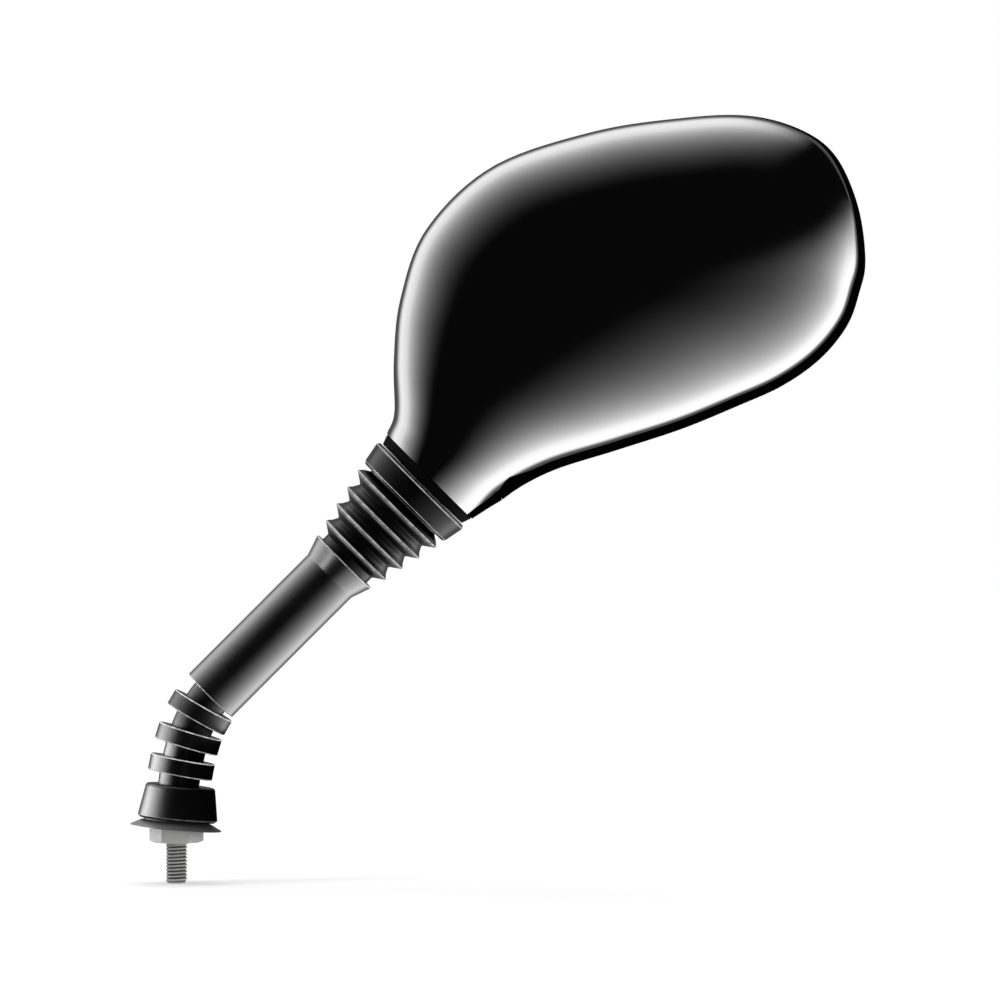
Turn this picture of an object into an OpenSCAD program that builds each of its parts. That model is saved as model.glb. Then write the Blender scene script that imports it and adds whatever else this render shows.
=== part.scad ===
// Motorcycle mirror for the rider's left, on a bent steel stem with a ball joint in the neck.
// Frame: the origin is on the stud's axis in the plane of the nut's underside, +Z runs up the
// stud, +X is the side that the head hangs towards, and the glass faces +Y.

/* [Stud and nut] */
// Radius of the turned-down mounting thread
stud_r = 4; // [3:0.5:4.5]
// Length of the mounting thread below the nut
stud_len = 14.7; // [10:0.1:30]
// Height of the chamfer at the stud's tip
stud_tip = 0.8; // [0.3:0.1:1.5]
// Width across the nut's flats
nut_af = 17; // [15:0.5:20]
// Height of the nut
nut_h = 8; // [6:0.5:10]

/* [Stem] */
// Radius of the steel rod and of its lock nut's thread
rod_r = 5; // [4:0.25:5.5]
// Height above the nut's underside at which the rod starts to lean
lean_start = 8.5; // [8:0.5:12]
// Radius of the long lean above the nut
lean_bend_r = 100; // [80:1:130]
// Angle that the long lean reaches
lean_angle = 17; // [8:1:20]
// Radius of the bend at the elbow
elbow_r = 45.5; // [36:0.5:52]
// Angle of the straight stem from upright
stem_angle = 45; // [35:1:55]
// Straight stem from the elbow to the centre of the ball
stem_len = 89.8; // [80:0.1:140]
// Radius of the ball
ball_r = 8; // [7.5:0.1:8.2]
// Radius of the rod's spigot through the ball
spigot_r = 4; // [3:0.25:4.5]

/* [Sleeve] */
// Outer radius of the sleeve
sleeve_r = 11.1; // [10.5:0.1:13]
// Wall of the sleeve
sleeve_wall = 2.5; // [1.5:0.1:3]
// Sleeve's top, below the ball's centre
sleeve_drop = 25.9; // [24:0.1:30]
// Length by which the sleeve reaches past the straight stem, over the end of the elbow
sleeve_reach = 4.9; // [2:0.1:6]
// Outer radius of the sleeve's flared top
flare_r = 13.6; // [12.8:0.1:15]
// Height of the flare
flare_h = 7.7; // [6:0.1:12]
// Length of the spacer bush in the sleeve
bush_len = 12; // [6:1:25]

/* [Bend gaiter] */
// Radius of the gaiter's core
core_r = 7.5; // [7:0.1:8.2]
// Radius of the three ribs
rib_r = 11.8; // [9:0.1:14]
// Thickness of a rib
rib_t = 6; // [3:0.1:7]
// Lean of the cup over the nut
cup_lean = 5.6; // [0:0.1:8]
// Radius of the cup's roof
cup_top_r = 12.4; // [12:0.1:14]
// Radius of the cup's mouth
cup_r = 14.5; // [14.2:0.1:17]
// Height of the cup
cup_h = 12.6; // [10:0.1:15]
// Wall of the cup
cup_wall = 1.6; // [1:0.1:2]
// Length of the plug that enters the sleeve
plug_len = 10; // [5:1:20]

/* [Seal washer] */
// Radius of the washer's thin edge
washer_r = 16.6; // [15.5:0.1:20]
// Width of the washer's sloped brim
brim_w = 3.6; // [3:0.1:3.8]
// Height of the washer's sloped brim
brim_h = 2.1; // [1:0.1:3]
// Wall of the washer
washer_wall = 1.2; // [0.8:0.1:1.5]

/* [Boot] */
// Radius of the first valley of the bellows
valley_r = 11.2; // [10.8:0.1:12]
// Growth of the radius from one fold to the next
fold_growth = 1.55; // [1.2:0.05:1.8]
// Depth of a fold
fold_depth = 4.1; // [2:0.1:5]
// Length of a fold
fold_pitch = 7; // [6.5:0.1:7.5]
// Wall of the boot
boot_wall = 1.5; // [1:0.1:2]
// Length of the boot's tail in the sleeve
tail_len = 3.5; // [2:0.1:5]

/* [Collar] */
// Outer radius of the collar's upper edge
collar_r = 21.9; // [21:0.1:26]
// Taper of the collar towards its lower edge
collar_taper = 1.4; // [0:0.1:2]
// Height of the collar
collar_h = 9.2; // [7:0.1:14]

/* [Socket] */
// Wall of the housing's barrel
barrel_wall = 3.3; // [2.5:0.1:3.6]
// Thickness of the housing's flange
flange_t = 3; // [2:0.1:3.2]
// Radius of the housing's screws
screw_r = 1.5; // [1.2:0.1:1.7]
// Radius of their countersunk heads
screw_head_r = 2.75; // [2.2:0.05:2.9]
// Number of the cone washers
spring_count = 4; // [2:1:6]
// Thickness of a cone washer
spring_t = 0.8; // [0.5:0.1:1]

/* [Head] */
// Width of the head beyond the neck
head_w = 171; // [150:1:200]
// Height of the head above the neck's start
head_h = 130.6; // [115:0.1:150]
// Depth of the dome behind its widest line
head_depth = 24; // [21:0.5:28]
// Radius of the neck at its start
neck_r = 21.8; // [21:0.1:26]
// Height of the dark ring between neck and collar
neck_seal_h = 3.7; // [2:0.1:6]
// Wall of the shell
shell_wall = 2.5; // [2:0.1:3]
// Floor of the neck
neck_floor = 3.5; // [3:0.1:3.6]
// Height of the shell's rim in front of its widest line
rim_y = 9; // [7:0.5:11]
// Height that the bezel stands in front of the rim
bezel_h = 7.6; // [6.5:0.1:9]
// Wall of the bezel
bezel_wall = 1.6; // [1.2:0.1:2]
// Width of the bezel's lip over the glass
lip_w = 3; // [2:0.1:5]
// Thickness of the glass
glass_t = 2.4; // [2:0.1:3]
// Thickness of the foam
foam_t = 2; // [1:0.1:2]
// Thickness of the backing plate
plate_t = 1.6; // [1:0.1:2]

/* [Hidden] */

// Clearances: running fit, loose fit and free gap between pieces that move apart
fit = 0.05;
loose = 0.15;
gap = 0.3;
// A cut runs this far past the faces that it opens
past = 1;
$fn = 96;

// The two bends lie in the plane of X and Z. A point on them turns by its angle from upright.
lean_c = [lean_bend_r, lean_start];
lean_end = lean_c + lean_bend_r * [-cos(lean_angle), sin(lean_angle)];
elbow_c = lean_end + elbow_r * [cos(lean_angle), -sin(lean_angle)];
elbow_end = elbow_c + elbow_r * [-cos(stem_angle), sin(stem_angle)];
// Rod below the spigot, and the cone between them, both measured down from the ball's centre
spigot_drop = 9;
spigot_cone = 3;
// The rod's end is flush with the ball
ball_flat = sqrt(ball_r * ball_r - spigot_r * spigot_r);

// Places along the stem, measured up from the ball's centre
sleeve_top = -sleeve_drop;
sleeve_len = stem_len + sleeve_reach - sleeve_drop;
boot_start = sleeve_top + 2.7;
fold_count = 4;
boot_end = boot_start + (fold_count - 1) * fold_pitch + 5.7;
collar_start = boot_end + 0.8;
collar_end = collar_start + collar_h;
seal_start = collar_end + gap;
neck_start = seal_start + neck_seal_h + fit;
floor_end = neck_start + neck_floor;
flange_end = floor_end + flange_t;
bore_r = ball_r + loose;
barrel_r = bore_r + barrel_wall;
barrel_start = -6;
mouth_angle = 57;
cup_start = 3.5;
cup_end = 10;
// Overall height of a cone washer, and of the stack
cone_rise = 0.6;
spring_end = cup_end + spring_count * (spring_t + cone_rise + fit);
plug_end = spring_end + 6;

// The washer's plane at the stud's axis, its lean, and its crown over the nut
washer_z = 5.2;
washer_lean = 5.2;
nut_corner_r = nut_af / 2 / cos(30);
crown_in_r = nut_corner_r + 0.6;
crown_r = crown_in_r + washer_wall;
crown_in_h = nut_h - washer_z + nut_af / 2 * sin(washer_lean) + gap;
brim_in_r = washer_r - brim_w;
cup_pos = [0.3, 0, washer_z + brim_h + 0.8];
// Lean of the bend at each rib, from the lowest up: two on the long lean and one on the elbow
rib_leans = [0.64 * lean_angle, 0.98 * lean_angle, lean_angle + 0.46 * (stem_angle - lean_angle)];

module at(p, lean) {
    translate(p) rotate([0, lean, 0]) children();
}

// Puts a shape drawn around Z on the straight stem, with its zero at the ball's centre
module on_stem() {
    at([elbow_end[0], 0, elbow_end[1]], stem_angle) translate([0, 0, stem_len]) children();
}

// Point on the stem's bent axis where it leans by an angle
function bend_point(a) = a < lean_angle
    ? lean_c + lean_bend_r * [-cos(a), sin(a)]
    : elbow_c + elbow_r * [-cos(a), sin(a)];

// A round bar along both bends, from one lean on. Each end runs a little into the straight bar.
module bends(bar_r, from = 0, sides = 36) {
    end_run = 0.5;
    skin = 0.01;
    lean_steps = 6;
    elbow_steps = 9;
    leans = concat([from], [for (i = [0:lean_steps]) from + (lean_angle - from) * i / lean_steps],
        [for (i = [1:elbow_steps]) lean_angle + (stem_angle - lean_angle) * i / elbow_steps], [stem_angle]);
    last = len(leans) - 1;
    centers = [for (i = [0:last]) bend_point(leans[i])
        + (i == 0 ? -end_run : i == last ? end_run : 0) * [sin(leans[i]), cos(leans[i])]];
    points = [for (i = [0:last], k = [0:sides - 1]) let (p = 360 * k / sides, r = bar_r - skin)
        [centers[i][0] + r * cos(p) * cos(leans[i]), r * sin(p), centers[i][1] - r * cos(p) * sin(leans[i])]];
    polyhedron(points = points, faces = concat(
        [[for (k = [0:sides - 1]) k]], [[for (k = [sides - 1:-1:0]) last * sides + k]],
        [for (i = [0:last - 1], k = [0:sides - 1]) let (n = (k + 1) % sides, a = i * sides, b = a + sides)
            each [[a + k, b + k, b + n], [a + k, b + n, a + n]]]));
}

module tube(z0, z1, outer, inner) {
    translate([0, 0, z0]) difference() {
        cylinder(h = z1 - z0, r = outer);
        translate([0, 0, -past]) cylinder(h = z1 - z0 + 2 * past, r = inner);
    }
}

module stem_rod() color("silver") {
    translate([0, 0, stud_tip - stud_len]) cylinder(h = stud_len - stud_tip, r = stud_r);
    translate([0, 0, -stud_len]) cylinder(h = stud_tip, r1 = stud_r - stud_tip, r2 = stud_r);
    cylinder(h = lean_start, r = rod_r);
    bends(rod_r);
    on_stem() {
        translate([0, 0, -stem_len]) cylinder(h = stem_len - spigot_drop - spigot_cone, r = rod_r);
        translate([0, 0, -spigot_drop - spigot_cone]) cylinder(h = spigot_cone, r1 = rod_r, r2 = spigot_r);
        translate([0, 0, -spigot_drop]) cylinder(h = spigot_drop + ball_flat, r = spigot_r);
    }
}

module pivot_ball() color("gainsboro") on_stem() difference() {
    intersection() {
        sphere(ball_r);
        translate([0, 0, -ball_flat]) cylinder(h = 2 * ball_flat, r = ball_r + past);
    }
    translate([0, 0, -ball_r - past]) cylinder(h = 2 * (ball_r + past), r = spigot_r + fit / 5);
}

module stem_sleeve() {
    inner = sleeve_r - sleeve_wall;
    mouth = valley_r + loose;
    step = tail_len + loose - 2.7;
    color("black") on_stem() translate([0, 0, sleeve_top]) rotate_extrude() polygon([
        [inner, -sleeve_len], [sleeve_r - 0.5, -sleeve_len], [sleeve_r, 0.5 - sleeve_len],
        [sleeve_r, -flare_h], [flare_r, -0.6], [flare_r - 0.6, 0],
        [mouth, 0], [mouth, -max(step, 1)], [inner, -max(step, 1) - 2.5]]);
}

module upper_bush() color("dimgray") on_stem() translate([0, 0, sleeve_top - flare_h - bush_len])
    tube(0, bush_len, sleeve_r - sleeve_wall - fit, rod_r + fit);

module rib(lean) {
    chamfer = 0.4;
    place = bend_point(lean);
    at([place[0], 0, place[1]], lean) translate([0, 0, -rib_t / 2]) rotate_extrude() polygon([
        [0, 0], [rib_r - chamfer, 0], [rib_r, chamfer],
        [rib_r, rib_t - chamfer], [rib_r - chamfer, rib_t], [0, rib_t]]);
}

module bend_gaiter() {
    round_r = 2;
    plug_start = sleeve_top - sleeve_len + 1;
    color("black") difference() {
        union() {
            at(cup_pos, cup_lean) rotate_extrude() polygon(concat(
                [[0, 0], [cup_r - 1, 0], [cup_r, 0.8]],
                [for (a = [10:20:90]) [cup_top_r, cup_h] + round_r * [cos(a) - 1, sin(a) - 1]],
                [[0, cup_h]]));
            bends(core_r, 6);
            on_stem() {
                translate([0, 0, -stem_len]) cylinder(h = max(plug_start + stem_len, 0) + 1, r = core_r);
                translate([0, 0, plug_start]) cylinder(h = plug_len, r = sleeve_r - sleeve_wall - fit);
            }
            for (lean = rib_leans) rib(lean);
        }
        at(cup_pos, cup_lean) translate([0, 0, -past]) cylinder(
            h = cup_h + past - 2, r1 = cup_r - cup_wall, r2 = cup_top_r - cup_wall);
        bends(rod_r + fit);
        on_stem() translate([0, 0, -stem_len])
            cylinder(h = plug_start + plug_len + stem_len + past, r = rod_r + fit);
    }
}

module seal_washer() {
    top = crown_in_h + washer_wall;
    color("gray") at([-0.25, 0, washer_z], washer_lean) rotate_extrude() polygon([
        [washer_r, 0], [washer_r, 0.25], [brim_in_r, brim_h], [crown_r, brim_h + 0.3],
        [crown_r, top], [rod_r + 0.6, top], [rod_r + 0.6, crown_in_h],
        [crown_in_r, crown_in_h], [crown_in_r, 0.5], [brim_in_r, 0.5]]);
}

module lock_nut() {
    edge = 1;
    color("lightgray") difference() {
        intersection() {
            cylinder(h = nut_h, r = nut_corner_r, $fn = 6);
            rotate_extrude() polygon([
                [0, 0], [nut_af / 2, 0], [nut_af / 2 + 2, edge], [nut_af / 2 + 2, nut_h - edge],
                [nut_af / 2, nut_h], [0, nut_h]]);
        }
        translate([0, 0, -past]) cylinder(h = nut_h + 2 * past, r = rod_r + fit);
    }
}

// One fold of the bellows from its valley up: a steep lower flank, a tip and a bevelled shoulder
function fold(i, inset) = let (r = valley_r + i * fold_growth - inset, z = boot_start + i * fold_pitch) [
    [r, z], [r + fold_depth, z + 0.43 * fold_pitch], [r + 0.64 * fold_depth, z + 0.66 * fold_pitch]];
function fold_line(inset) = [for (i = [0:fold_count - 1]) each fold(i, inset)];
boot_top_r = valley_r + (fold_count - 1) * fold_growth + 0.4;
boot_top = collar_start + 4;

module boot() {
    inner = fold_line(boot_wall);
    color("#1a1a1a") on_stem() rotate_extrude() polygon(concat(
        [[valley_r - boot_wall, boot_start - tail_len], [valley_r, boot_start - tail_len]],
        fold_line(0), [[boot_top_r, boot_end], [boot_top_r, boot_top],
        [boot_top_r - boot_wall, boot_top], [boot_top_r - boot_wall, boot_end]],
        [for (i = [len(inner) - 1:-1:0]) inner[i]]));
}

module boot_collar() {
    low = collar_start;
    high = collar_end;
    hole = barrel_r + gap;
    hub = boot_top_r - boot_wall - loose;
    color("black") on_stem() rotate_extrude() polygon([
        [boot_top_r + loose, low], [collar_r - collar_taper - 1, low], [collar_r - collar_taper, low + 0.9],
        [collar_r, high - 1], [collar_r - 0.9, high], [hole, high], [hole, low + 1.6], [hub, low + 1.6],
        [hub, boot_top + loose], [boot_top_r + loose, boot_top + loose]]);
}

module neck_seal() color("#151515") on_stem() rotate_extrude() polygon([
    [barrel_r + loose, seal_start], [neck_r - 1.6, seal_start],
    [neck_r - 0.3, seal_start + neck_seal_h], [barrel_r + loose, seal_start + neck_seal_h]]);

neck_in_r = neck_r - 4;
screw_pitch_r = (barrel_r + neck_in_r) / 2;
screw_head_h = 1.4;
module screw_places() {
    for (a = [30:120:270]) rotate([0, 0, a]) translate([screw_pitch_r, 0, 0]) children();
}

module socket_housing() color("darkgray") on_stem() difference() {
    union() {
        translate([0, 0, barrel_start]) cylinder(h = flange_end - barrel_start, r = barrel_r);
        translate([0, 0, floor_end]) cylinder(h = flange_t, r = neck_in_r - gap);
    }
    sphere(ball_r + fit);
    cylinder(h = flange_end + past, r = bore_r);
    mirror([0, 0, 1]) cylinder(h = ball_r * cos(mouth_angle) + 0.01, r = ball_r * sin(mouth_angle));
    translate([0, 0, barrel_start - past]) cylinder(
        h = past - barrel_start - ball_r * cos(mouth_angle),
        r1 = ball_r * sin(mouth_angle) + 1.6, r2 = ball_r * sin(mouth_angle));
    screw_places() {
        translate([0, 0, floor_end - past]) cylinder(h = flange_t + 2 * past, r = screw_r + fit);
        translate([0, 0, flange_end - screw_head_h]) cylinder(
            h = screw_head_h + fit, r1 = screw_r + fit, r2 = screw_head_r + 2 * fit);
    }
}

module housing_screws() color("silver") on_stem() screw_places() difference() {
    union() {
        translate([0, 0, neck_start + 1]) cylinder(h = flange_end - neck_start - 1, r = screw_r);
        translate([0, 0, flange_end - screw_head_h])
            cylinder(h = screw_head_h, r1 = screw_r, r2 = screw_head_r);
    }
    translate([-screw_head_r - past, -0.4, flange_end - 0.7]) cube([2 * (screw_head_r + past), 0.8, past]);
}

module pressure_cup() color("ivory") on_stem() difference() {
    translate([0, 0, cup_start]) cylinder(h = cup_end - cup_start, r = bore_r - loose);
    sphere(ball_r + fit);
    cylinder(h = cup_end + past, r = 1.5);
}

module disc_springs() color("steelblue") on_stem() for (i = [0:spring_count - 1]) {
    low = cup_end + i * (spring_t + cone_rise + fit);
    rise = i % 2 == 0 ? [0, cone_rise] : [cone_rise, 0];
    hole = 0.5 * bore_r;
    rotate_extrude() polygon([
        [hole, low + rise[0]], [bore_r - 0.4, low + rise[1]],
        [bore_r - 0.4, low + rise[1] + spring_t], [hole, low + rise[0] + spring_t]]);
}

module spring_plug() color("silver") on_stem() difference() {
    translate([0, 0, spring_end]) cylinder(h = plug_end - spring_end, r = bore_r - fit);
    translate([0, 0, plug_end - 3]) cylinder(h = 3 + past, r = 3 / cos(30), $fn = 6);
}

// The head's outline from the neck's left side over the top to the tip and back along the lower
// edge to the neck's right side, in X and Z from the neck's start, at the drawn width and height.
// The last point on each side is on the neck and follows its radius.
drawn_w = 171;
drawn_h = 130.6;
upper_edge = [[-12.7, 23.3], [-12.9, 42.6], [-10.5, 64.4], [-1.1, 89.5], [22.6, 112], [58.6, 124.6],
    [91.3, 129.7], [114.6, 130.4], [132.8, 125.5], [144.8, 116.4]];
tip = [152.6, 99];
lower_edge = [[155.3, 79.7], [153.1, 68], [148.8, 56.4], [139.3, 44.8], [125.9, 35.3], [109.5, 27.9],
    [89.5, 19.7], [65.9, 12], [42.2, 4.4], [25.9, -4.7]];
neck_side = neck_r * [-cos(stem_angle), sin(stem_angle)];
outline = concat([neck_side], [for (p = upper_edge) scaled(p)], [scaled(tip)],
    [for (p = lower_edge) scaled(p)], [-neck_side]);
function scaled(p) = [p[0] * head_w / drawn_w, p[1] * head_h / drawn_h];
tip_at = len(upper_edge) + 1;
outline_end = len(outline) - 1;

// Depth of the dome at the same stations, from the neck to the tip, where it rounds off to nothing
depths = concat([neck_r],
    head_depth * [0.917, 0.942, 0.975, 1, 1, 0.979, 0.917, 0.813, 0.646, 0.438, 0.25]);
tip_round = 0.7;
function tip_share(t) = let (u = max(t - tip_at + tip_round, 0) / tip_round) sqrt(max(1 - u * u, 0));

function spline(p0, p1, p2, p3, u) = 0.5 * (2 * p1 + (p2 - p0) * u
    + (2 * p0 - 5 * p1 + 4 * p2 - p3) * u * u + (3 * p1 - p0 - 3 * p2 + p3) * u * u * u);
function along(points, t) = let (last = len(points) - 1, i = min(floor(t), last - 1)) spline(
    i > 0 ? points[i - 1] : 2 * points[0] - points[1], points[i], points[i + 1],
    i + 2 <= last ? points[i + 2] : 2 * points[last] - points[last - 1], t - i);

// Unit vector that points into the head, square to its outline
function inward(t) = let (d = along(outline, min(t + 0.05, outline_end)) - along(outline, max(t - 0.05, 0)))
    [d[1], -d[0]] / norm(d);
// The rim stands outside the widest line and a little towards the tip and down
rim_proud = 1.7;
rim_shift = [1.5, -0.9];
function rim_share(t) = min(1, t / 0.8, (outline_end - t) / 0.8);
function rim_point(t) = along(outline, t) + rim_share(t) * (rim_shift - rim_proud * inward(t));
function inset_point(p, t, inset) = p + inset * inward(t);

// Steps around one section: front quarter, skirt and dome
front_steps = 6;
skirt_steps = 2;
dome_steps = 24;
side_steps = front_steps + skirt_steps;
ring_size = dome_steps + 2 * side_steps;
// Stations: the neck's front ends at the shoulder, and the glass opening starts at the window
shoulder_at = 0.84;
window_at = 1.2;
station_step = (tip_at - 0.08 - window_at) / 27;
neck_stations = [0, 0.2, 0.4, 0.6, shoulder_at];
ledge_stations = [shoulder_at + 0.02, 1, window_at];
open_stations = [for (i = [1:27]) window_at + i * station_step];
stations = concat(neck_stations, ledge_stations, open_stations);
first_open = len(neck_stations) + len(ledge_stations) - 1;

function bulge(a, power) = let (c = cos(a), s = sin(a))
    [sign(c) * pow(abs(c), 2 / power), pow(abs(s), 2 / power)];

// How square a section is: 2 is an ellipse
function front_power(t) = 2 + 1.2 * t;
function dome_power(t) = 2 + 0.35 * min(t, 1);

// Point j of one side of a section, from the middle of its front down to its edge. On the neck it
// follows an arch to the rim's line, and past the shoulder a flat front and the skirt behind the rim.
function arch_point(t, j, rim, mid, inset) =
    let (b = bulge(90 - 90 * j / side_steps, front_power(t)), p = mid + (rim - mid) * b[0])
    [p[0], (neck_r * (1 - 0.22 * t * t) - inset) * b[1], p[1]];
function ledge_point(t, j, edge, rim, rim_mid, inset) = j < front_steps
    ? let (p = rim_mid + (rim - rim_mid) * j / front_steps) [p[0], rim_y - inset, p[1]]
    : let (u = (j - front_steps) / skirt_steps, p = rim + (edge - rim) * u)
        [p[0], (rim_y - (t < window_at ? inset : 0)) * (1 - u), p[1]];

// A section between the outline's points at t and at its far end less t, as points [x, y, z]. The
// ring starts in the middle of the front, runs down the left side, over the dome and up the right.
function section(t, inset) = let (
        back = outline_end - t,
        left = inset_point(along(outline, t), t, inset),
        right = inset_point(along(outline, back), back, inset),
        rim_left = inset_point(rim_point(t), t, inset),
        rim_right = inset_point(rim_point(back), back, inset),
        mid = (left + right) / 2,
        rim_mid = (rim_left + rim_right) / 2,
        depth = max(along(depths, t) * tip_share(t) - inset, 0.5))
    concat(
        [for (j = [0:side_steps - 1]) t <= shoulder_at
            ? arch_point(t, j, rim_left, mid, inset)
            : ledge_point(t, j, left, rim_left, rim_mid, inset)],
        [for (j = [0:dome_steps])
            let (b = bulge(180 * j / dome_steps, dome_power(t)), p = mid + (left - mid) * b[0])
            [p[0], -depth * b[1], p[1]]],
        [for (j = [side_steps - 1:-1:1]) t <= shoulder_at
            ? arch_point(t, j, rim_right, mid, inset)
            : ledge_point(t, j, right, rim_right, rim_mid, inset)]);

// A circle around the stem's line, with its points in the order of a section's
function neck_ring(z, radius) = [for (j = [0:ring_size - 1])
    let (a = j < side_steps ? 90 * j / side_steps
        : j <= side_steps + dome_steps ? 90 + 180 * (j - side_steps) / dome_steps
        : 270 + 90 * (j - side_steps - dome_steps) / side_steps,
        s = -radius * sin(a))
    [s * cos(stem_angle) + z * sin(stem_angle), radius * cos(a), -s * sin(stem_angle) + z * cos(stem_angle)]];

floor_hole_r = barrel_r + loose;
outer_rings = [for (t = stations) section(t, 0)];
inner_rings = concat(
    [neck_ring(0, floor_hole_r), neck_ring(neck_floor, floor_hole_r), neck_ring(neck_floor, neck_in_r),
        neck_ring(neck_floor + flange_t + gap, neck_in_r)],
    [for (t = stations) if (t > shoulder_at) section(t, shell_wall)]);

// Index of a ring's point: the outer rings come first
function outer_at(i, j) = i * ring_size + j % ring_size;
function inner_at(i, j) = (len(outer_rings) + i) * ring_size + j % ring_size;
inner_open = len(inner_rings) - len(stations) + first_open;
// The opening leaves out the front of each section, between its two rim points
function is_front(j) = j < front_steps || j >= ring_size - front_steps;
left_rim = front_steps;
right_rim = ring_size - front_steps;

module shell_wall_solid() {
    outer_last = len(outer_rings) - 1;
    inner_last = len(inner_rings) - 1;
    faces = concat(
        [for (i = [0:outer_last - 1], j = [0:ring_size - 1]) if (i < first_open || !is_front(j))
            each [[outer_at(i, j), outer_at(i, j + 1), outer_at(i + 1, j + 1)],
                [outer_at(i, j), outer_at(i + 1, j + 1), outer_at(i + 1, j)]]],
        [for (i = [0:inner_last - 1], j = [0:ring_size - 1]) if (i < inner_open || !is_front(j))
            each [[inner_at(i, j), inner_at(i + 1, j + 1), inner_at(i, j + 1)],
                [inner_at(i, j), inner_at(i + 1, j), inner_at(i + 1, j + 1)]]],
        // The neck's end, the closed tip, and the edge around the opening
        [for (j = [0:ring_size - 1]) each [[outer_at(0, j + 1), outer_at(0, j), inner_at(0, j)],
            [outer_at(0, j + 1), inner_at(0, j), inner_at(0, j + 1)]]],
        [[for (j = [left_rim:right_rim]) outer_at(outer_last, j)]],
        [[for (j = [right_rim:-1:left_rim]) inner_at(inner_last, j)]],
        [for (i = [first_open:outer_last - 1]) let (k = i - first_open + inner_open)
            each [[outer_at(i, left_rim), outer_at(i + 1, left_rim), inner_at(k + 1, left_rim)],
                [outer_at(i, left_rim), inner_at(k + 1, left_rim), inner_at(k, left_rim)],
                [outer_at(i + 1, right_rim), outer_at(i, right_rim), inner_at(k, right_rim)],
                [outer_at(i + 1, right_rim), inner_at(k, right_rim), inner_at(k + 1, right_rim)]]],
        [for (j = [0:ring_size - 1]) if (is_front(j))
            each [[outer_at(first_open, j), outer_at(first_open, j + 1), inner_at(inner_open, j + 1)],
                [outer_at(first_open, j), inner_at(inner_open, j + 1), inner_at(inner_open, j)]]],
        [[outer_at(outer_last, right_rim), inner_at(inner_last, right_rim),
            inner_at(inner_last, left_rim), outer_at(outer_last, left_rim)]]);
    polyhedron(points = [for (ring = concat(outer_rings, inner_rings)) each ring], faces = faces);
}

// Puts a shape at the neck's start, without turning it
module at_neck() {
    start = elbow_end + (stem_len + neck_start) * [sin(stem_angle), cos(stem_angle)];
    translate([start[0], 0, start[1]]) children();
}

module shell() color("#101010") difference() {
    at_neck() shell_wall_solid();
    on_stem() translate([0, 0, neck_start + 1 - fit]) screw_places()
        cylinder(h = neck_floor, r = screw_r + fit);
}

// A flat piece in the glass opening between two depths, set in from the rim's outline
module rim_plate(y0, y1, inset) {
    corner_r = 5;
    at_neck() translate([0, y1, 0]) rotate([90, 0, 0]) linear_extrude(y1 - y0)
        offset(r = corner_r) offset(delta = -inset - corner_r)
            polygon([for (t = [1:0.25:outline_end - 1]) rim_point(t)]);
}

glass_y = rim_y + plate_t + foam_t;

module backing_plate() color("slategray") rim_plate(rim_y, rim_y + plate_t, bezel_wall + loose);
module foam_pad() color("gray") rim_plate(rim_y + plate_t, glass_y, bezel_wall + lip_w);
module mirror_glass() color("lightblue") rim_plate(glass_y, glass_y + glass_t, bezel_wall + loose);
module bezel() color("black") difference() {
    rim_plate(rim_y, rim_y + bezel_h, 0);
    rim_plate(rim_y - past, glass_y + glass_t + fit, bezel_wall);
    rim_plate(rim_y, rim_y + bezel_h + past, bezel_wall + lip_w);
}

stem_rod();
pivot_ball();
stem_sleeve();
upper_bush();
bend_gaiter();
seal_washer();
lock_nut();
boot();
boot_collar();
neck_seal();
socket_housing();
housing_screws();
pressure_cup();
disc_springs();
spring_plug();
shell();
backing_plate();
foam_pad();
mirror_glass();
bezel();
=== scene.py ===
# Motorcycle mirror on a bent stem: looks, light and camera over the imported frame.
import math

import bmesh
import bpy
import numpy as np
from mathutils import Matrix, Vector


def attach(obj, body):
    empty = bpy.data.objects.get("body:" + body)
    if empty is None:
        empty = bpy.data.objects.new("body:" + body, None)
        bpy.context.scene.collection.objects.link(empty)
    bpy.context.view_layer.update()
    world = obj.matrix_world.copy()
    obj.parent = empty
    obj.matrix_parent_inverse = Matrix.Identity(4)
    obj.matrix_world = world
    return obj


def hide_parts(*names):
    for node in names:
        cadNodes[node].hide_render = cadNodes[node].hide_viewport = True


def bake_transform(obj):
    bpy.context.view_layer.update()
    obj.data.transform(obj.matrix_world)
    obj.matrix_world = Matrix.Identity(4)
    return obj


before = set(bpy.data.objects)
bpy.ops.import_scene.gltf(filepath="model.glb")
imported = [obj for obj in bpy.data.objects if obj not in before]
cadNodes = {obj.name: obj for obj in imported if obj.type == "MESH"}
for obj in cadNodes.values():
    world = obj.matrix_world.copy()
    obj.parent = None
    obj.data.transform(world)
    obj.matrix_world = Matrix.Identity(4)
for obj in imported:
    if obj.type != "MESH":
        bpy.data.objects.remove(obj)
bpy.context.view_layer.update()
mm = 0.001
print("frame loaded:", len(cadNodes), "nodes")


def leaned(place, lean):
    return Matrix.Translation(Vector(place) * mm) @ Matrix.Rotation(math.radians(lean), 4, "Y")


# the straight stem: its pieces are drawn round Z with the ball's centre at zero
stem = {"ballCentre": (79.2062, 0, 120.1058), "lean": 45, "neckStart": 17.55}
stemPlace, stemLean = leaned(stem["ballCentre"], stem["lean"]), math.radians(stem["lean"])
stemLine = Vector((math.sin(stemLean), 0, math.cos(stemLean)))
aroundSteps = 128  # points round a turned piece


# mesh helpers: shapes are written in millimetres and end up in metres

def unit(vector):
    return vector / np.linalg.norm(vector)


def evenly(start, end, count):
    return [start + (end - start) * i / count for i in range(count + 1)]


def circle(steps):
    return [2 * math.pi * k / steps for k in range(steps)]


def newObject(name, data):
    thing = bpy.data.objects.new(name, data)
    bpy.context.scene.collection.objects.link(thing)
    return thing


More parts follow.
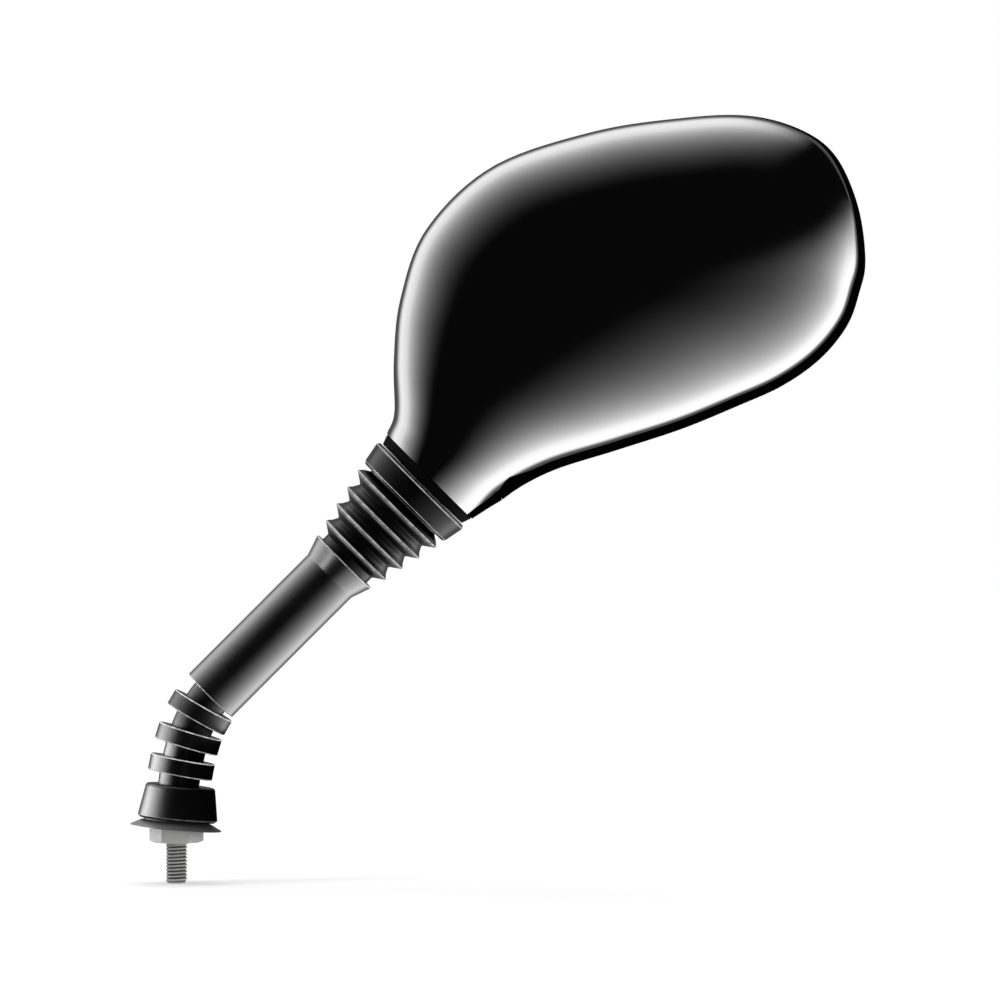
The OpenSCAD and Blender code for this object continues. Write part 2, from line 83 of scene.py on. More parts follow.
def smoothMesh(mesh, sharpAngle):
    mesh.shade_smooth()
    mesh.set_sharp_from_angle(angle=math.radians(sharpAngle))


def makePiece(name, points, faces, place=None, sharpAngle=32, marks=None):
    # marks are values on the points that the materials read, such as where a painted highlight runs along an
    # edge
    mesh = bpy.data.meshes.new(name)
    mesh.from_pydata([Vector(p) * mm for p in points], [], faces)
    if place is not None:
        mesh.transform(place)
    for label, values in (marks or {}).items():
        mesh.attributes.new(label, "FLOAT", "POINT").data.foreach_set("value", values)
    work = bmesh.new()
    work.from_mesh(mesh)
    bmesh.ops.remove_doubles(work, verts=work.verts, dist=2e-7)
    bmesh.ops.dissolve_degenerate(work, edges=work.edges, dist=1e-7)
    bmesh.ops.recalc_face_normals(work, faces=work.faces)
    work.to_mesh(mesh)
    work.free()
    smoothMesh(mesh, sharpAngle)
    return newObject(name, mesh)


def ringFaces(ringCount, size, closedStack=False, capEnds=False):
    faces = []
    for i in range(ringCount if closedStack else ringCount - 1):
        a, b = i * size, ((i + 1) % ringCount) * size
        faces += [(a + k, b + k, b + (k + 1) % size, a + (k + 1) % size) for k in range(size)]
    if capEnds:
        faces.append(tuple(range(size)))
        faces.append(tuple((ringCount - 1) * size + k for k in reversed(range(size))))
    return faces


def cornerArc(corner, alongOne, alongTwo, rounding, steps, most=math.inf):
    # how far an arc between two sides reaches along them, and its points
    half = math.acos(np.clip(alongOne @ alongTwo, -1, 1)) / 2
    reach = min(rounding / math.tan(half), most)
    radius = reach * math.tan(half)
    centre = corner + unit(alongOne + alongTwo) * radius / math.sin(half)
    start, end = corner + alongOne * reach, corner + alongTwo * reach
    return reach, [centre + unit(p - centre) * radius for p in evenly(start, end, steps)]


def roundedLine(sizes, corners, arcSteps=5):
    # closed line through (r, z, rounding, highlight) corners, with a support point beside each arc,
    # and how strongly each of its points carries a painted highlight; a corner's numbers may be named in the
    # sizes
    line, highlightShare = [], []
    corners = [[sizes.get(item, item) for item in corner] for corner in corners]
    for i, (x, y, rounding, *highlit) in enumerate(corners):
        here = np.array((x, y), float)
        if rounding <= 0:
            line.append(here)
            highlightShare.append(0.0)
            continue
        toPrev = np.array(corners[i - 1][:2], float) - here
        toNext = np.array(corners[(i + 1) % len(corners)][:2], float) - here
        most = 0.45 * min(np.linalg.norm(toPrev), np.linalg.norm(toNext))
        toPrev, toNext = unit(toPrev), unit(toNext)
        reach, arc = cornerArc(here, toPrev, toNext, rounding, arcSteps, most)
        line += [here + toPrev * reach * 1.12, *arc, here + toNext * reach * 1.12]
        highlightShare += [0.0] + [highlit[0] if highlit else 0.0] * len(arc) + [0.0]
    return line, highlightShare


def turnedPoints(line):
    return [(r * math.cos(a), r * math.sin(a), z) for r, z in line for a in circle(aroundSteps)]


def turned(name, sizes, corners, place=stemPlace):
    line, highlightShare = roundedLine(sizes, corners)
    faces = ringFaces(len(line), aroundSteps, closedStack=True)
    highlit = [w for w in highlightShare for k in range(aroundSteps)]
    return makePiece(name, turnedPoints(line), faces, place, marks={"edgeWear": highlit})


def joinPieces(name, parts):
    # one object out of several closed shells
    mesh = bpy.data.meshes.new(name)
    work = bmesh.new()
    for part in parts:
        work.from_mesh(part.data)
        bpy.data.objects.remove(part)
    work.to_mesh(mesh)
    work.free()
    smoothMesh(mesh, 32)
    return newObject(name, mesh)


# node helpers

class Wire:
    # a node's output, which plain arithmetic can be written with
    def __init__(self, tree, node, output=0):
        self.tree, self.node, self.socket = tree, node, node.outputs[output]

    def __getitem__(self, output):
        return Wire(self.tree, self.node, output)

    def then(self, operation, *values, clamp=False):
        return addNode(self.tree, "ShaderNodeMath", enumerate((self, *values)),
                       operation=operation, use_clamp=clamp)

    def mapped(self, fromLow, fromHigh, toLow=0.0, toHigh=1.0, kind="LINEAR"):
        return addNode(self.tree, "ShaderNodeMapRange", {
            "Value": self, "From Min": fromLow, "From Max": fromHigh, "To Min": toLow, "To Max": toHigh},
            interpolation_type=kind)

    def __add__(self, other):
        return self.then("ADD", other)

    def __sub__(self, other):
        return self.then("SUBTRACT", other)

    def __mul__(self, other):
        return self.then("MULTIPLY", other)

    def __truediv__(self, other):
        return self.then("DIVIDE", other)

    def __rsub__(self, other):
        return addNode(self.tree, "ShaderNodeMath", {0: other, 1: self}, operation="SUBTRACT")


def setInputs(tree, node, values):
    for socket, value in dict(values).items():
        if isinstance(value, Wire):
            tree.links.new(value.socket, node.inputs[socket])
        else:
            node.inputs[socket].default_value = value


def addNode(tree, kind, inputs=(), **settings):
    node = tree.nodes.new(kind)
    for key, value in settings.items():
        setattr(node, key, value)
    setInputs(tree, node, inputs)
    return Wire(tree, node)


def partsOf(tree, vector):
    split = addNode(tree, "ShaderNodeSeparateXYZ", {0: vector})
    return split[0], split[1], split[2]


def newGroup(name, kind, inputs, outputs):
    # a value gives its socket's kind and default, a word only the kind
    group = bpy.data.node_groups.new(name, kind)
    for label, value in inputs.items():
        word = value if isinstance(value, str) else type(value).__name__.capitalize()
        socket = group.interface.new_socket(label, in_out="INPUT", socket_type="NodeSocket" + word)
        if word != value:
            socket.default_value = value
    for label, word in outputs.items():
        group.interface.new_socket(label, in_out="OUTPUT", socket_type="NodeSocket" + word)
    return group, Wire(group, group.nodes.new("NodeGroupInput")), group.nodes.new("NodeGroupOutput")


# Geometry Nodes

def newTree(name, inputs):
    inputs = {"Geometry": "Geometry", **inputs, "Material": "Material"}
    return newGroup(name, "GeometryNodeTree", inputs, {"Geometry": "Geometry"})


def radialParts(tree):
    # radius, height, angle and outward direction of each point round Z
    x, y, height = partsOf(tree, addNode(tree, "GeometryNodeInputPosition"))
    flat = addNode(tree, "ShaderNodeCombineXYZ", {0: x, 1: y})
    outward = addNode(tree, "ShaderNodeVectorMath", {0: flat}, operation="NORMALIZE")
    radius = addNode(tree, "ShaderNodeVectorMath", {0: flat}, operation="LENGTH")["Value"]
    return radius, height, y.then("ARCTAN2", x), outward


def pushOut(tree, geometry, outward, amount, **chosen):
    push = addNode(tree, "ShaderNodeVectorMath", {0: outward, "Scale": amount}, operation="SCALE")
    return addNode(tree, "GeometryNodeSetPosition", {"Geometry": geometry, "Offset": push, **chosen})


def markPoints(tree, geometry, name, value):
    return addNode(tree, "GeometryNodeStoreNamedAttribute", {
        "Geometry": geometry, "Name": name, "Value": value}, data_type="FLOAT", domain="POINT")


def finishTree(tree, geometry, groupIn, groupOut):
    real = addNode(tree, "GeometryNodeRealizeInstances", {0: geometry})
    paint = addNode(tree, "GeometryNodeSetMaterial", {"Geometry": real, "Material": groupIn["Material"]})
    setInputs(tree, groupOut, {0: paint})
    return tree


def treeMesh(holder, tree, values, sharpAngle=32):
    # the plain mesh that a tree makes of an object
    modifier = holder.modifiers.new(tree.name, "NODES")
    modifier.node_group = tree
    sockets = {s.name: s.identifier for s in tree.interface.items_tree
               if s.item_type == "SOCKET" and s.in_out == "INPUT"}
    for label, value in values.items():
        modifier[sockets[label]] = value
    bpy.context.view_layer.update()
    mesh = bpy.data.meshes.new_from_object(holder.evaluated_get(bpy.context.evaluated_depsgraph_get()))
    holder.modifiers.clear()
    smoothMesh(mesh, sharpAngle)
    return mesh


def applyTree(piece, tree, values, sharpAngle=32):
    piece.data = treeMesh(piece, tree, values, sharpAngle)
    piece.data.name = piece.name


def threadTree():
    # cuts a helical thread into the points between two radii and two heights
    tree, groupIn, groupOut = newTree("cutThread", {
        "Pitch": 0.00125, "Depth": 0.0007, "Least Radius": 0.0, "Most Radius": 1.0, "Start": 0.0,
        "End": 0.01, "Run Out": 0.0006})
    radius, height, angle, outward = radialParts(tree)
    turns = height / groupIn["Pitch"] - angle / (2 * math.pi)
    wave = turns.then("FRACT").then("MULTIPLY_ADD", 2.0, -1.0).then("ABSOLUTE")
    flank = wave.then("MULTIPLY_ADD", 1.25, -0.125, clamp=True)
    fadeIn = (height - groupIn["Start"]).then("DIVIDE", groupIn["Run Out"], clamp=True)
    fadeOut = (groupIn["End"] - height).then("DIVIDE", groupIn["Run Out"], clamp=True)
    amount = flank * groupIn["Depth"] * (fadeIn * fadeOut)
    chosen = (radius.then("GREATER_THAN", groupIn["Least Radius"])
              * radius.then("LESS_THAN", groupIn["Most Radius"]))
    moved = pushOut(tree, groupIn["Geometry"], outward, amount * -1.0, Selection=chosen)
    # the grooves are marked, on top of the marks of a thread cut before, so that painted shade can darken
    # them
    earlier = addNode(tree, "GeometryNodeInputNamedAttribute", {"Name": "groove"}, data_type="FLOAT")
    here = chosen * (amount / groupIn["Depth"].then("MAXIMUM", 0.00001))
    marked = markPoints(tree, moved, "groove", earlier["Attribute"].then("MAXIMUM", here))
    return finishTree(tree, marked, groupIn, groupOut)


def bellowsTree():
    # pushes the wall of a plain tube out into folds that grow from one to the next
    tree, groupIn, groupOut = newTree("bellows", {
        "Start": 0.0, "Pitch": 0.007, "Folds": 4, "Growth": 0.0015, "Depth": 0.004, "Last Fold End": 0.8,
        "Top Rise": 0.0004})
    radius, height, angle, outward = radialParts(tree)
    growth, lastFold = groupIn["Growth"], groupIn["Folds"] - 1.0
    inFolds = ((height - groupIn["Start"]) / groupIn["Pitch"]).then("MAXIMUM", 0.0)
    index = inFolds.then("FLOOR").then("MINIMUM", lastFold)
    within = inFolds - index
    # the last fold is a little shorter, and the tail before the first stays plain
    isLast = index.then("COMPARE", lastFold, 0.5)
    shorter = isLast * (groupIn["Last Fold End"].then("POWER", -1.0) - 1.0) * 2.4 + 1.0
    upper = (within - 0.66).then("MAXIMUM", 0.0)
    scaled = (within.then("MINIMUM", 0.66) + upper * shorter).then("MINIMUM", 1.0)
    curve = addNode(tree, "ShaderNodeFloatCurve", {"Value": scaled})
    points = curve.node.mapping.curves[0].points
    for x, y in ((0.07, 0.13), (0.405, 0.965), (0.43, 1.0), (0.455, 0.975), (0.645, 0.68), (0.675, 0.625),
                 (0.95, 0.06)):
        points.new(x, y)
    points[0].location, points[-1].location = (0, 0), (1, 0)
    for point in points:
        point.handle_type = "VECTOR"
    curve.node.mapping.update()
    slope = (scaled - 0.66).then("DIVIDE", 0.34, clamp=True)
    rise = curve * groupIn["Depth"] + slope * (isLast * groupIn["Top Rise"] + (1.0 - isLast) * growth)
    moved = pushOut(tree, groupIn["Geometry"], outward, rise + index * growth)
    # each fold carries a pale painted highlight along its tip, less and less down its lower side
    tip = (scaled - 0.45).then("ABSOLUTE").then("MULTIPLY_ADD", -24.0, 1.0, clamp=True)
    below = scaled.then("LESS_THAN", 0.45) * scaled.then("MULTIPLY_ADD", 5.0, -1.25, clamp=True)
    marked = markPoints(tree, moved, "edgeWear", tip.then("MAXIMUM", below * 0.5))
    return finishTree(tree, marked, groupIn, groupOut)


def ribTree():
    # sets copies of one rib along a curve at an even spacing
    tree, groupIn, groupOut = newTree("ribsAlongCurve", {
        "Rib": "Object", "Count": 3, "First": 0.027, "Spacing": 0.0105})
    cloud = addNode(tree, "GeometryNodePoints", {"Count": groupIn["Count"]})
    index = addNode(tree, "GeometryNodeInputIndex")
    length = index.then("MULTIPLY_ADD", groupIn["Spacing"], groupIn["First"])
    sample = addNode(tree, "GeometryNodeSampleCurve", {"Curves": groupIn["Geometry"], "Length": length},
                     mode="LENGTH", use_all_curves=True)
    placed = addNode(tree, "GeometryNodeSetPosition", {"Geometry": cloud, "Position": sample["Position"]})
    turn = addNode(tree, "FunctionNodeAlignRotationToVector", {"Vector": sample["Tangent"]},
                   axis="Z", pivot_axis="Y")
    rib = addNode(tree, "GeometryNodeObjectInfo", {"Object": groupIn["Rib"]})["Geometry"]
    copies = addNode(tree, "GeometryNodeInstanceOnPoints", {
        "Points": placed, "Instance": rib, "Rotation": turn})
    return finishTree(tree, copies, groupIn, groupOut)


cutThread, bellows, ribsAlong = threadTree(), bellowsTree(), ribTree()


# shader nodes

def objectPlace(tree):
    return addNode(tree, "ShaderNodeTexCoord")["Object"]


def pointMark(tree, name):
    return addNode(tree, "ShaderNodeAttribute", attribute_name=name)["Fac"]


def noise(tree, scale, detail, stretch=None):
    place = objectPlace(tree)
    if stretch is not None:
        place = addNode(tree, "ShaderNodeMapping", {"Vector": place, "Scale": stretch})
    return addNode(tree, "ShaderNodeTexNoise", {"Vector": place, "Scale": scale, "Detail": detail,
                                                "Roughness": 0.55})


def newEffect(name, inputs, *outputs):
    return newGroup(name, "ShaderNodeTree", inputs, dict.fromkeys(outputs, "Float"))


def grainGroup():
    # moulded or cast surface: roughness that drifts, with a fine height
    group, groupIn, groupOut = newEffect("mouldedGrain", {
        "Roughness": 0.3, "Drift": 0.06, "Grain Scale": 2500.0}, "Roughness", "Height")
    roughness, drift = groupIn["Roughness"], groupIn["Drift"]
    setInputs(group, groupOut, {
        "Roughness": noise(group, 45.0, 5.0).mapped(0.3, 0.7, roughness - drift, roughness + drift),
        "Height": noise(group, groupIn["Grain Scale"], 3.0)})
    return group


def scuffGroup():
    # sparse fine scratches and dust, as a mask
    group, groupIn, groupOut = newEffect("scuffsAndDust", {"Amount": 0.3}, "Mask")
    cross = noise(group, 140.0, 2.0, (18.0, 4.0, 1.0))
    lines = noise(group, 160.0, 2.0, (1.0, 6.0, 22.0)).then("MAXIMUM", cross)
    where = noise(group, 28.0, 3.0).mapped(0.5, 0.68)
    setInputs(group, groupOut, {"Mask": lines.mapped(0.69, 0.74) * where * groupIn["Amount"]})
    return group


def turningGroup():
    # the rings that a lathe leaves round the Z axis, as a height and a shade
    group, groupIn, groupOut = newEffect("turningMarks", {"Ring Scale": 3000.0}, "Height", "Shade")
    x, y, z = partsOf(group, objectPlace(group))
    across = (x.then("POWER", 2.0) + y.then("POWER", 2.0)).then("SQRT") + z * 0.6
    rings = addNode(group, "ShaderNodeTexNoise", {
        "W": across * groupIn["Ring Scale"], "Detail": 3.0, "Roughness": 0.6}, noise_dimensions="1D")
    setInputs(group, groupOut, {"Height": rings, "Shade": rings.mapped(0.3, 0.7)})
    return group


def rubGroup():
    # the piece's painted highlight lines along its edges, broken up by noise, as a mask
    group, groupIn, groupOut = newEffect("rubbedEdges", {"Amount": 0.5}, "Mask")
    broken = noise(group, 380.0, 2.0).mapped(0.4, 0.56, 0.55, 1.0)
    setInputs(group, groupOut, {"Mask": pointMark(group, "edgeWear") * broken * groupIn["Amount"]})
    return group


groups = {"grain": grainGroup(), "scuffs": scuffGroup(), "turning": turningGroup(), "rub": rubGroup()}


def useGroup(tree, name, inputs):
    return addNode(tree, "ShaderNodeGroup", inputs, node_tree=groups[name])


def useGrain(tree, look):
    return useGroup(tree, "grain", {"Roughness": look["roughness"], "Drift": look["drift"],
                                    "Grain Scale": look["grainScale"]})


def addBump(tree, look, height):
    return addNode(tree, "ShaderNodeBump", {
        "Height": height, "Strength": look["bump"], "Distance": look["bumpDepth"]})


def mixed(tree, factor, *colors):
    first, second = ((*color, 1) if isinstance(color, tuple) else color for color in colors)
    mix = addNode(tree, "ShaderNodeMix", {"Factor": factor, "A": first, "B": second}, data_type="RGBA")
    return mix["Result"]


def slantFade(tree, start, end):
    # down from one where a surface turns away, so that edges stay clear of white
    return addNode(tree, "ShaderNodeLayerWeight")["Facing"].mapped(start, end, 1.0, 0.12)


def startMaterial(name, inputs):
    material = bpy.data.materials.new(name)
    material.use_nodes = True
    tree = material.node_tree
    shader = tree.nodes["Principled BSDF"]
    setInputs(tree, shader, inputs)
    return material, tree, shader


def plasticMaterial(name, look, shine):
    material, tree, shader = startMaterial(name, look.get("coat", {}))
    fade = slantFade(tree, 0.45, 0.9)
    if "coatEdge" in look:
        # this mark, in millimetres, is over zero where there is no coat
        coated = pointMark(tree, look["coatEdge"]).mapped(-0.04, 0.04, 1.0, 0.0)
        setInputs(tree, shader, {"Coat Weight": coated * fade})
    grain = useGrain(tree, look)
    # painted highlight: pale lines along the edges, laid over the real scuffs and dust
    rub = useGroup(tree, "rub", {"Amount": look["rub"]})
    wornAndHighlit = useGroup(tree, "scuffs", {"Amount": look["scuffs"]}).then("MAXIMUM", rub)
    setInputs(tree, shader, {
        "Base Color": mixed(tree, wornAndHighlit, look["color"], look["scuffColor"]),
        "Roughness": wornAndHighlit.then("MULTIPLY_ADD", 0.2, grain["Roughness"], clamp=True),
        "Specular IOR Level": fade * shine, "Normal": addBump(tree, look, grain["Height"])})
    return material


def metalMaterial(name, look):
    material, tree, shader = startMaterial(name, {
        "Metallic": look["metallic"], "Specular IOR Level": look["specular"]})
    grain = useGrain(tree, look)
    turning = useGroup(tree, "turning", {"Ring Scale": look["ringScale"]})
    clean = mixed(tree, turning["Shade"], look["dark"], look["light"])
    # painted shade: the thread grooves are darkened in the base colour
    grooveShadeMask = pointMark(tree, "groove").mapped(0.1, 0.8, 0.0, 0.92)
    setInputs(tree, shader, {
        "Base Color": mixed(tree, grooveShadeMask, clean, look["grime"]), "Roughness": grain["Roughness"],
        "Normal": addBump(tree, look, turning["Height"] + grain["Height"] * 0.4)})
    return material


def mirrorMaterial(name, look):
    material, tree, shader = startMaterial(name, {"Metallic": look["metallic"]})
    x, y, z = partsOf(tree, objectPlace(tree))
    # painted reflection: the glass's colour runs lighter towards the top
    wave = noise(tree, 9.0, 1.0) * 0.03 + (x * -0.35 + z)
    paintedReflection = mixed(tree, wave.mapped(*look["rise"], kind="SMOOTHSTEP"), look["dark"], look["light"])
    dustOverPaintedReflection = mixed(tree, useGroup(tree, "scuffs", {"Amount": look["scuffs"]}), paintedReflection, look["scuffColor"])
    # painted shade: the glass's colour goes black where its surface turns away from the view
    setInputs(tree, shader, {
        "Base Color": mixed(tree, slantFade(tree, 0.05, 0.3), grey(0.0), dustOverPaintedReflection),
        "Roughness": useGrain(tree, look)["Roughness"]})
    return material


def foamMaterial(name, look):
    material, tree, shader = startMaterial(name, {"Roughness": look["roughness"]})
    cells = addNode(tree, "ShaderNodeTexVoronoi", {"Vector": objectPlace(tree), "Scale": look["cells"]})
    setInputs(tree, shader, {"Base Color": mixed(tree, cells["Distance"], look["dark"], look["light"]),
                             "Normal": addBump(tree, look, cells["Distance"])})
    return material


def grey(value):
    return value, value, value


# the pale mark colours of the plastics serve real scuffs and also painted highlight lines along edges
looks = {
    "paint": {"color": (0.001, 0.001, 0.0011), "scuffColor": grey(0.02), "roughness": 0.3,
              "drift": 0.02, "grainScale": 900.0, "scuffs": 0.08, "rub": 0.0, "bump": 0.03,
              "bumpDepth": 0.00005, "coatEdge": "paintEdge",
              "coat": {"Coat Roughness": 0.09, "Coat IOR": 1.95}},
    "sleeve": {"color": (0.0015, 0.0015, 0.0016), "scuffColor": grey(0.6), "roughness": 0.27,
               "drift": 0.04, "grainScale": 2200.0, "scuffs": 0.05, "rub": 0.7, "bump": 0.1,
               "bumpDepth": 0.00008},
    "rim": {"color": (0.0025, 0.0025, 0.0026), "scuffColor": grey(0.05), "roughness": 0.55,
            "drift": 0.05, "grainScale": 2600.0, "scuffs": 0.1, "rub": 0.2, "bump": 0.2,
            "bumpDepth": 0.0001},
    "rubber": {"color": grey(0.0015), "scuffColor": (0.85, 0.85, 0.83), "roughness": 0.34,
               "drift": 0.06, "grainScale": 3000.0, "scuffs": 0.06, "rub": 1.0, "bump": 0.25,
               "bumpDepth": 0.0001},
    "nylon": {"color": (0.72, 0.7, 0.64), "scuffColor": (0.5, 0.48, 0.43), "roughness": 0.5,
              "drift": 0.06, "grainScale": 2400.0, "scuffs": 0.3, "rub": 0.0, "bump": 0.2,
              "bumpDepth": 0.0001},
    # the dark third colour of these metal looks is painted shade for thread grooves
    "zinc": {"dark": grey(0.36), "light": (0.6, 0.6, 0.59), "grime": grey(0.012),
             "metallic": 0.04, "specular": 0.03, "roughness": 0.5, "drift": 0.07, "grainScale": 1800.0,
             "ringScale": 2600.0, "bump": 0.25, "bumpDepth": 0.00006},
    "dullZinc": {"dark": (0.035, 0.035, 0.036), "light": grey(0.07), "grime": grey(0.012),
                 "metallic": 0.1, "specular": 0.35, "roughness": 0.42, "drift": 0.06, "grainScale": 1800.0,
                 "ringScale": 2600.0, "bump": 0.25, "bumpDepth": 0.00006},
    "cast": {"dark": (0.42, 0.42, 0.43), "light": (0.6, 0.6, 0.61), "grime": grey(0.1),
             "metallic": 0.8, "specular": 0.5, "roughness": 0.5, "drift": 0.08, "grainScale": 1800.0,
             "ringScale": 500.0, "bump": 0.5, "bumpDepth": 0.0002},
    # the glass's dark and light colours span a painted reflection that runs lighter towards the top
    "glass": {"dark": (0.3, 0.305, 0.31), "light": (0.88, 0.89, 0.9), "rise": (0.07, 0.215),
              "scuffColor": (0.7, 0.72, 0.73), "scuffs": 0.25, "metallic": 0.75, "roughness": 0.03,
              "drift": 0.012, "grainScale": 600.0},
    "foam": {"dark": grey(0.06), "light": grey(0.24), "roughness": 0.9, "cells": 900.0,
             "bump": 0.6, "bumpDepth": 0.0004},
}
glossPaint = plasticMaterial("glossBlackPaint", looks["paint"], 0.0)
satinPlastic = plasticMaterial("satinBlackPlastic", looks["sleeve"], 0.5)
mattePlastic = plasticMaterial("matteBlackPlastic", looks["rim"], 0.0)
collarPlastic = plasticMaterial("collarPlastic", looks["sleeve"], 0.06)
sealRubber = plasticMaterial("sealRubber", looks["rim"], 0.004)
blackRubber = plasticMaterial("blackRubber", looks["rubber"], 0.18)
bootRubber = plasticMaterial("bootRubber", looks["rubber"], 0.07)
paleNylon = plasticMaterial("paleNylon", looks["nylon"], 0.5)
zincSteel = metalMaterial("zincSteel", looks["zinc"])
# a much darker copy of the zinc look, given to the washer
dullZinc = metalMaterial("dullZinc", looks["dullZinc"])
castAlloy = metalMaterial("castAlloy", looks["cast"])
mirrorGlass = mirrorMaterial("silveredGlass", looks["glass"])
greyFoam = foamMaterial("greyFoam", looks["foam"])
print("materials made:", len(bpy.data.materials))


def dress(piece, material):
    piece.data.materials.clear()
    piece.data.materials.append(material)


def settle(piece, material, body, slotName, *replaced):
    dress(piece, material)
    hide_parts(*replaced)
    if body is not None:
        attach(piece, body)


# the stem's line: upright, the long lean, the elbow, then straight to the ball
rod = {"radius": 5, "studRadius": 4, "studLength": 14.7, "tip": 0.8, "pitch": 1.25, "threadEnd": 9.5,
       "coneRadius": 4.15, "startCone": 0.45, "leanStart": 8.5, "leanBend": 100, "leanAngle": 17,
       "elbowBend": 45.5, "straight": 89.8, "spigot": 4, "spigotDrop": 9, "spigotCone": 3, "ballFlat": 6.928,
       "threads": [{"Least Radius": 0.0033, "Start": -0.0144, "End": -0.0003, "Run Out": 0.0005},
                   {"Least Radius": 0.0042, "Start": -0.0006, "End": 0.0095, "Run Out": 0.0006}]}
leanFull = math.radians(rod["leanAngle"])
elbowStart = rod["leanStart"] + rod["leanBend"] * leanFull
bendEnd = elbowStart + rod["elbowBend"] * (stemLean - leanFull)


def stemPoint(s):
    # place in X and Z, and lean, at a length along the stem from the nut's underside
    if s <= rod["leanStart"]:
        return 0.0, s, 0.0
    bend, elbow, rest = rod["leanBend"], rod["elbowBend"], max(s - bendEnd, 0)
    first = min((s - rod["leanStart"]) / bend, leanFull)
    lean = first + min(max(s - elbowStart, 0) / elbow, stemLean - leanFull)
    x = bend * (1 - math.cos(first)) + elbow * (math.cos(first) - math.cos(lean))
    z = bend * math.sin(first) + elbow * (math.sin(lean) - math.sin(first)) + rod["leanStart"]
    return x + rest * math.sin(lean), z + rest * math.cos(lean), lean


def stemTube(stations, steps):
    points = []
    for s, radius in stations:
        x, z, lean = stemPoint(s)
        points += [(x + radius * math.cos(a) * math.cos(lean), radius * math.sin(a),
                    z - radius * math.cos(a) * math.sin(lean)) for a in circle(steps)]
    return points


def buildRod():
    steps, fine = 72, rod["pitch"] / 12
    radius, stud, tip, spigot = rod["radius"], rod["studRadius"], rod["tip"], rod["spigot"]
    bottom, tipEnd = -rod["studLength"], tip - rod["studLength"]
    stations = [(bottom, stud - tip), (bottom + 0.05, stud - tip + 0.05)]
    stations += [(s, stud) for s in evenly(tipEnd, 0, int(-tipEnd / fine))]
    # the coarse thread starts with a cone from its root, so that the nut clears it further down
    threadEnd = rod["threadEnd"]
    stations.append((0, rod["coneRadius"]))
    stations += [(s, radius) for s in evenly(rod["startCone"], threadEnd, int(threadEnd / fine))]
    stations += [(s, radius) for s in evenly(threadEnd, bendEnd, 40)[1:]]
    ball = bendEnd + rod["straight"]
    coneTop, ballTop = ball - rod["spigotDrop"], ball + rod["ballFlat"]
    stations += [(coneTop - rod["spigotCone"], radius), (coneTop, spigot), (ballTop - 0.3, spigot),
                 (ballTop, spigot - 0.3)]
    piece = makePiece("stemRod", stemTube(stations, steps), ringFaces(len(stations), steps, capEnds=True))
    for thread in rod["threads"]:
        applyTree(piece, cutThread, {"Pitch": rod["pitch"] * mm, "Depth": 0.0007, **thread})
    settle(piece, zincSteel, "stem", "zinc_steel", "stem_rod")


buildRod()

nut = {"flats": 17, "height": 8, "bore": 5.05, "countersink": 0.5, "chamferRadius": 8.5, "chamferSlope": 2}


def buildNut():
    steps, rows = 144, 6
    angles, height, bore, sink = circle(steps), nut["height"], nut["bore"], nut["countersink"]
    chamfer, slope, top = nut["chamferRadius"], nut["chamferSlope"], height - sink
    hexRadius = [nut["flats"] / 2 / math.cos(a % (math.pi / 3) - math.pi / 6) for a in angles]

    def ring(radii, heights):
        return [(r * math.cos(a), r * math.sin(a), z) for a, r, z in zip(angles, radii, heights)]

    def level(z, r):
        return ring([r] * steps, [z] * steps)

    def side(share, fromTop):
        drops = [share * max((corner - chamfer) / slope, 0) for corner in hexRadius]
        radii = [min(chamfer + slope * z, corner) for z, corner in zip(drops, hexRadius)]
        return ring(radii, [height - z if fromTop else z for z in drops])

    rings = [level(sink, bore), level(0, bore + sink), level(0, chamfer - 0.3)]
    rings += [side(i / rows, False) for i in range(rows + 1)]
    rings += [side(i / rows, True) for i in range(rows, -1, -1)]
    rings += [level(height, chamfer - 0.3), level(height, bore + sink)]
    fine = rod["pitch"] / 10
    rings += [level(z, bore) for z in evenly(top, sink, int((top - sink) / fine))[:-1]]
    points = [p for r in rings for p in r]
    piece = makePiece("lockNut", points, ringFaces(len(rings), steps, closedStack=True), sharpAngle=24)
    # the bore's wall stands at the thread's outer size, so its crests are pushed inwards
    applyTree(piece, cutThread, {
        "Pitch": rod["pitch"] * mm, "Depth": 0.0006, "Most Radius": (bore + 0.1) * mm, "Start": sink * mm,
        "End": top * mm, "Run Out": 0.0004}, 24)
    settle(piece, zincSteel, "nut", "zinc_steel", "lock_nut")


buildNut()

washer = {"place": (-0.25, 0, 5.2), "lean": 5.2, "radius": 16.6, "edge": 16.55, "brimRadius": 13,
          "brimHeight": 2.1, "crown": 11.61, "crownLow": 2.4, "crownInside": 10.41, "top": 5.07,
          "inside": 3.87, "hole": 5.6}
sealWasher = turned("sealWasher", washer, [
    ("edge", 0, 0.05), ("radius", 0.25, 0.1), ("brimRadius", "brimHeight", 0.5), ("crown", "crownLow", 0.5),
    ("crown", "top", 0.8), ("hole", "top", 0.15), ("hole", "inside", 0.1), ("crownInside", "inside", 0.3),
    ("crownInside", 0.5, 0.3), ("brimRadius", 0.5, 0.3)], leaned(washer["place"], washer["lean"]))
settle(sealWasher, dullZinc, "washer", "zinc_steel", "seal_washer")
print("rod, nut and washer made")

gaiter = {"core": 7.5, "bore": 5.05, "plug": 8.55, "plugLength": 10, "start": 18.9, "sleeveEnd": -94.7,
          "cupPlace": (0.3, 0, 8.1), "cupLean": 5.6, "cup": 14.5, "cupFoot": 13.5, "cupInside": 12.9,
          "shoulder": 12.5, "shoulderInside": 10.8, "cupHeight": 12.6, "cupRoof": 10.6, "cupHole": 5.25,
          "ribRadius": 11.8, "ribFoot": 6.3, "ribLow": -3, "ribHigh": 3, "ribRound": 0.35, "ribs": 3,
          "firstRib": 27.5, "ribSpacing": 10.45}


